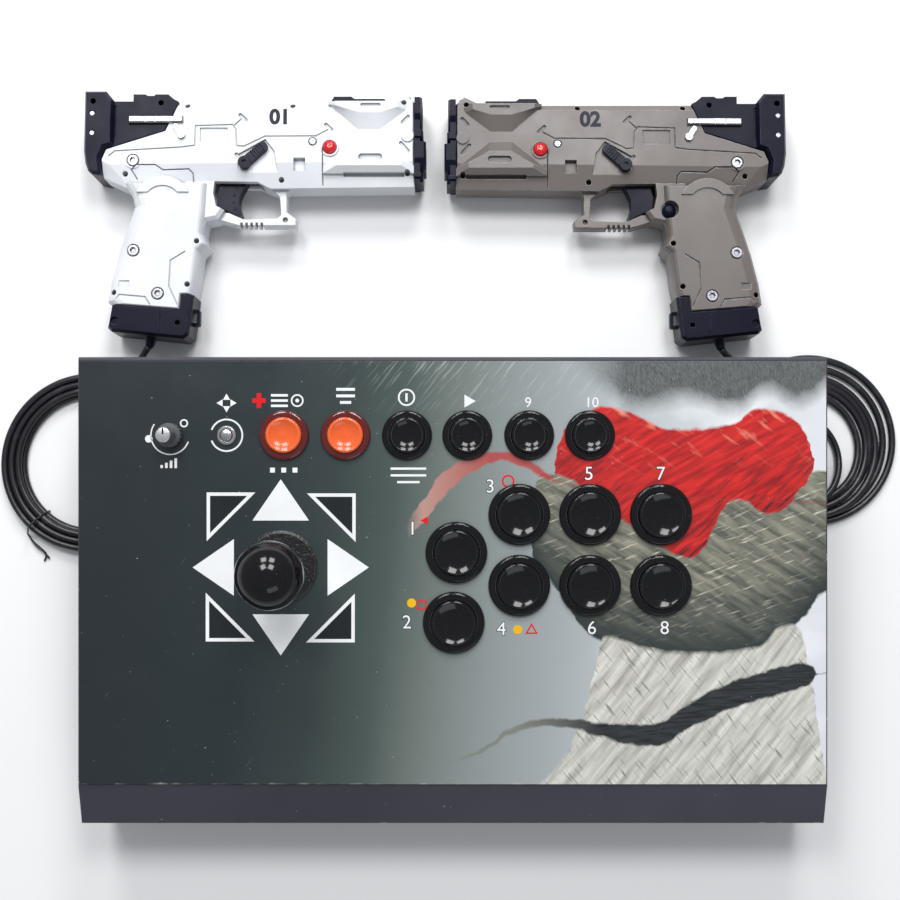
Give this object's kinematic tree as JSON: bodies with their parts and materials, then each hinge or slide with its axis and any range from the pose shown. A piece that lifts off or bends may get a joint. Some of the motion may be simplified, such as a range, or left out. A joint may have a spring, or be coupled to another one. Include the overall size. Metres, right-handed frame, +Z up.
{
  "type": "light gun cabinet",
  "caption": "Tabletop arcade console: sloped desk with a ball-top joystick, push buttons and knob, and two wired pistol-shaped light guns on coiled cables.",
  "frame": {"origin": "under the middle of the box that holds the desk and both guns, on the table that the feet and the guns rest on", "axes": "+Z up, +X to the player's right, +Y away from the player"},
  "size_m": [0.5273, 0.4118, 0.1255],
  "materials": {
    "slate_painted_steel": "satin powder coat",
    "black_painted_steel": "matte",
    "printed_overlay": "satin printed film",
    "black_gloss_plastic": "gloss",
    "red_clear_plastic": "gloss, see-through red",
    "orange_plastic": "gloss",
    "black_moulded_plastic": "moulded",
    "brushed_metal": "brushed",
    "zinc_steel": "zinc plated",
    "textured_black_plastic": "coarse texture",
    "circuit_board": "solder mask",
    "socket_metal": "nickel",
    "grey_knob_plastic": "moulded",
    "black_rubber": "matte",
    "cable_jacket": "smooth",
    "white_shell_plastic": "satin moulded",
    "khaki_shell_plastic": "satin moulded",
    "navy_black_plastic": "satin moulded",
    "red_gloss_plastic": "gloss",
    "bright_plated_metal": "plated"
  },
  "bodies": {
    "desk": {"top_cover": "slate_painted_steel", "bottom_pan": "black_painted_steel", "panel_overlay": "printed_overlay", "black_button_housings": "black_gloss_plastic", "red_button_housings": "red_clear_plastic", "button_nuts": "black_moulded_plastic", "button_microswitches": "black_moulded_plastic", "panel_control_bodies": "brushed_metal", "joystick_frame": "black_moulded_plastic", "dust_washer": "textured_black_plastic", "main_board": "circuit_board", "rear_ports": "socket_metal", "rubber_feet_and_grommets": "black_rubber", "case_screws": "zinc_steel", "gun_cable_left_run": "cable_jacket", "gun_cable_left_coil": "cable_jacket", "gun_cable_right_run": "cable_jacket", "gun_cable_right_coil": "cable_jacket"},
    "button_main_1": {"button_main_1": "black_gloss_plastic"},
    "button_main_2": {"button_main_2": "black_gloss_plastic"},
    "button_main_3": {"button_main_3": "black_gloss_plastic"},
    "button_main_4": {"button_main_4": "black_gloss_plastic"},
    "button_main_5": {"button_main_5": "black_gloss_plastic"},
    "button_main_6": {"button_main_6": "black_gloss_plastic"},
    "button_main_7": {"button_main_7": "black_gloss_plastic"},
    "button_main_8": {"button_main_8": "black_gloss_plastic"},
    "button_small_1": {"button_small_1": "black_gloss_plastic"},
    "button_small_2": {"button_small_2": "black_gloss_plastic"},
    "button_small_3": {"button_small_3": "black_gloss_plastic"},
    "button_small_4": {"button_small_4": "black_gloss_plastic"},
    "button_orange_1": {"button_orange_1": "orange_plastic"},
    "button_orange_2": {"button_orange_2": "orange_plastic"},
    "metal_push_button": {"metal_push_button": "brushed_metal"},
    "volume_knob": {"volume_knob": "grey_knob_plastic"},
    "power_rocker": {"power_rocker": "black_moulded_plastic"},
    "joystick_gimbal": {"joystick_gimbal": "black_moulded_plastic"},
    "joystick_stick": {"joystick_shaft": "zinc_steel", "ball_top": "black_gloss_plastic"},
    "gun_left": {"gun_left_shell_right": "white_shell_plastic", "gun_left_shell_left": "white_shell_plastic", "gun_left_rear_cap": "navy_black_plastic", "gun_left_muzzle_unit": "navy_black_plastic", "gun_left_grip_base": "navy_black_plastic", "gun_left_metal_fittings": "bright_plated_metal"},
    "gun_left_trigger": {"gun_left_trigger": "navy_black_plastic"},
    "gun_left_safety_lever": {"gun_left_safety_lever": "navy_black_plastic"},
    "gun_left_red_button_right": {"gun_left_red_button_right": "red_gloss_plastic"},
    "gun_left_red_button_left": {"gun_left_red_button_left": "red_gloss_plastic"},
    "gun_left_magazine_release": {"gun_left_magazine_release": "navy_black_plastic"},
    "gun_right": {"gun_right_shell_right": "khaki_shell_plastic", "gun_right_shell_left": "khaki_shell_plastic", "gun_right_rear_cap": "navy_black_plastic", "gun_right_muzzle_unit": "navy_black_plastic", "gun_right_grip_base": "navy_black_plastic", "gun_right_metal_fittings": "bright_plated_metal"},
    "gun_right_trigger": {"gun_right_trigger": "navy_black_plastic"},
    "gun_right_safety_lever": {"gun_right_safety_lever": "navy_black_plastic"},
    "gun_right_red_button_right": {"gun_right_red_button_right": "red_gloss_plastic"},
    "gun_right_red_button_left": {"gun_right_red_button_left": "red_gloss_plastic"},
    "gun_right_magazine_release": {"gun_right_magazine_release": "navy_black_plastic"}
  },
  "joints": [
    {"name": "button_main_1_press", "type": "slide", "parent": "desk", "child": "button_main_1", "axis": [0, 0.0698, -0.9976], "range_m": [0, 0.0035], "stiffness_N_per_m": 150, "springref_m": -0.004},
    {"name": "button_main_2_press", "type": "slide", "parent": "desk", "child": "button_main_2", "axis": [0, 0.0698, -0.9976], "range_m": [0, 0.0035], "stiffness_N_per_m": 150, "springref_m": -0.004},
    {"name": "button_main_3_press", "type": "slide", "parent": "desk", "child": "button_main_3", "axis": [0, 0.0698, -0.9976], "range_m": [0, 0.0035], "stiffness_N_per_m": 150, "springref_m": -0.004},
    {"name": "button_main_4_press", "type": "slide", "parent": "desk", "child": "button_main_4", "axis": [0, 0.0698, -0.9976], "range_m": [0, 0.0035], "stiffness_N_per_m": 150, "springref_m": -0.004},
    {"name": "button_main_5_press", "type": "slide", "parent": "desk", "child": "button_main_5", "axis": [0, 0.0698, -0.9976], "range_m": [0, 0.0035], "stiffness_N_per_m": 150, "springref_m": -0.004},
    {"name": "button_main_6_press", "type": "slide", "parent": "desk", "child": "button_main_6", "axis": [0, 0.0698, -0.9976], "range_m": [0, 0.0035], "stiffness_N_per_m": 150, "springref_m": -0.004},
    {"name": "button_main_7_press", "type": "slide", "parent": "desk", "child": "button_main_7", "axis": [0, 0.0698, -0.9976], "range_m": [0, 0.0035], "stiffness_N_per_m": 150, "springref_m": -0.004},
    {"name": "button_main_8_press", "type": "slide", "parent": "desk", "child": "button_main_8", "axis": [0, 0.0698, -0.9976], "range_m": [0, 0.0035], "stiffness_N_per_m": 150, "springref_m": -0.004},
    {"name": "button_small_1_press", "type": "slide", "parent": "desk", "child": "button_small_1", "axis": [0, 0.0698, -0.9976], "range_m": [0, 0.003], "stiffness_N_per_m": 150, "springref_m": -0.004},
    {"name": "button_small_2_press", "type": "slide", "parent": "desk", "child": "button_small_2", "axis": [0, 0.0698, -0.9976], "range_m": [0, 0.003], "stiffness_N_per_m": 150, "springref_m": -0.004},
    {"name": "button_small_3_press", "type": "slide", "parent": "desk", "child": "button_small_3", "axis": [0, 0.0698, -0.9976], "range_m": [0, 0.003], "stiffness_N_per_m": 150, "springref_m": -0.004},
    {"name": "button_small_4_press", "type": "slide", "parent": "desk", "child": "button_small_4", "axis": [0, 0.0698, -0.9976], "range_m": [0, 0.003], "stiffness_N_per_m": 150, "springref_m": -0.004},
    {"name": "button_orange_1_press", "type": "slide", "parent": "desk", "child": "button_orange_1", "axis": [0, 0.0698, -0.9976], "range_m": [0, 0.003], "stiffness_N_per_m": 150, "springref_m": -0.004},
    {"name": "button_orange_2_press", "type": "slide", "parent": "desk", "child": "button_orange_2", "axis": [0, 0.0698, -0.9976], "range_m": [0, 0.003], "stiffness_N_per_m": 150, "springref_m": -0.004},
    {"name": "metal_button_press", "type": "slide", "parent": "desk", "child": "metal_push_button", "axis": [0, 0.0698, -0.9976], "range_m": [0, 0.0012], "stiffness_N_per_m": 300, "springref_m": -0.003},
    {"name": "volume_turn", "type": "hinge", "parent": "desk", "child": "volume_knob", "pos_m": [-0.1442, 0.00214, 0.07104], "axis": [0, -0.0698, 0.9976], "range_deg": [-140, 140]},
    {"name": "power_rock", "type": "hinge", "parent": "desk", "child": "power_rocker", "pos_m": [-0.1434, 0.04304, 0.046], "axis": [1, 0, 0], "range_deg": [0, 16]},
    {"name": "stick_forward_back", "type": "hinge", "parent": "desk", "child": "joystick_gimbal", "pos_m": [-0.0852, -0.06721, 0.05216], "axis": [1, 0, 0], "range_deg": [-8, 8], "stiffness_Nm_per_rad": 0.35},
    {"name": "stick_left_right", "type": "hinge", "parent": "joystick_gimbal", "child": "joystick_stick", "pos_m": [-0.0852, -0.06721, 0.05216], "axis": [0, 0.9976, 0.0698], "range_deg": [-8, 8], "stiffness_Nm_per_rad": 0.35},
    {"name": "gun_left_lift", "type": "hinge", "parent": "desk", "child": "gun_left", "pos_m": [-0.16988, 0.05963, 0.0155], "axis": [1, 0, 0], "range_deg": [0, 55]},
    {"name": "gun_left_trigger_pull", "type": "hinge", "parent": "gun_left", "child": "gun_left_trigger", "pos_m": [-0.10741, 0.15793, 0.0155], "axis": [0, 0, -1], "range_deg": [0, 8.5], "stiffness_Nm_per_rad": 0.4, "springref_deg": -6.88},
    {"name": "gun_left_safety_turn", "type": "hinge", "parent": "gun_left", "child": "gun_left_safety_lever", "pos_m": [-0.11372, 0.16366, 0.0155], "axis": [0, 0, 1], "range_deg": [-45, 0]},
    {"name": "gun_left_red_button_right_press", "type": "slide", "parent": "gun_left", "child": "gun_left_red_button_right", "axis": [0, 0, -1], "range_m": [0, 0.0015], "stiffness_N_per_m": 300, "springref_m": -0.003},
    {"name": "gun_left_red_button_left_press", "type": "slide", "parent": "gun_left", "child": "gun_left_red_button_left", "axis": [0, 0, 1], "range_m": [0, 0.0015], "stiffness_N_per_m": 300, "springref_m": -0.003},
    {"name": "gun_left_magazine_release_press", "type": "slide", "parent": "gun_left", "child": "gun_left_magazine_release", "axis": [0, 0, 1], "range_m": [0, 0.002], "stiffness_N_per_m": 300, "springref_m": -0.003},
    {"name": "gun_right_lift", "type": "hinge", "parent": "desk", "child": "gun_right", "pos_m": [0.16278, 0.05823, 0.0155], "axis": [1, 0, 0], "range_deg": [0, 55]},
    {"name": "gun_right_trigger_pull", "type": "hinge", "parent": "gun_right", "child": "gun_right_trigger", "pos_m": [0.10031, 0.15653, 0.0155], "axis": [0, 0, 1], "range_deg": [0, 8.5], "stiffness_Nm_per_rad": 0.4, "springref_deg": -6.88},
    {"name": "gun_right_safety_turn", "type": "hinge", "parent": "gun_right", "child": "gun_right_safety_lever", "pos_m": [0.10662, 0.16226, 0.0155], "axis": [0, 0, -1], "range_deg": [-45, 0]},
    {"name": "gun_right_red_button_right_press", "type": "slide", "parent": "gun_right", "child": "gun_right_red_button_right", "axis": [0, 0, 1], "range_m": [0, 0.0015], "stiffness_N_per_m": 300, "springref_m": -0.003},
    {"name": "gun_right_red_button_left_press", "type": "slide", "parent": "gun_right", "child": "gun_right_red_button_left", "axis": [0, 0, -1], "range_m": [0, 0.0015], "stiffness_N_per_m": 300, "springref_m": -0.003},
    {"name": "gun_right_magazine_release_press", "type": "slide", "parent": "gun_right", "child": "gun_right_magazine_release", "axis": [0, 0, -1], "range_m": [0, 0.002], "stiffness_N_per_m": 300, "springref_m": -0.003}
  ]
}
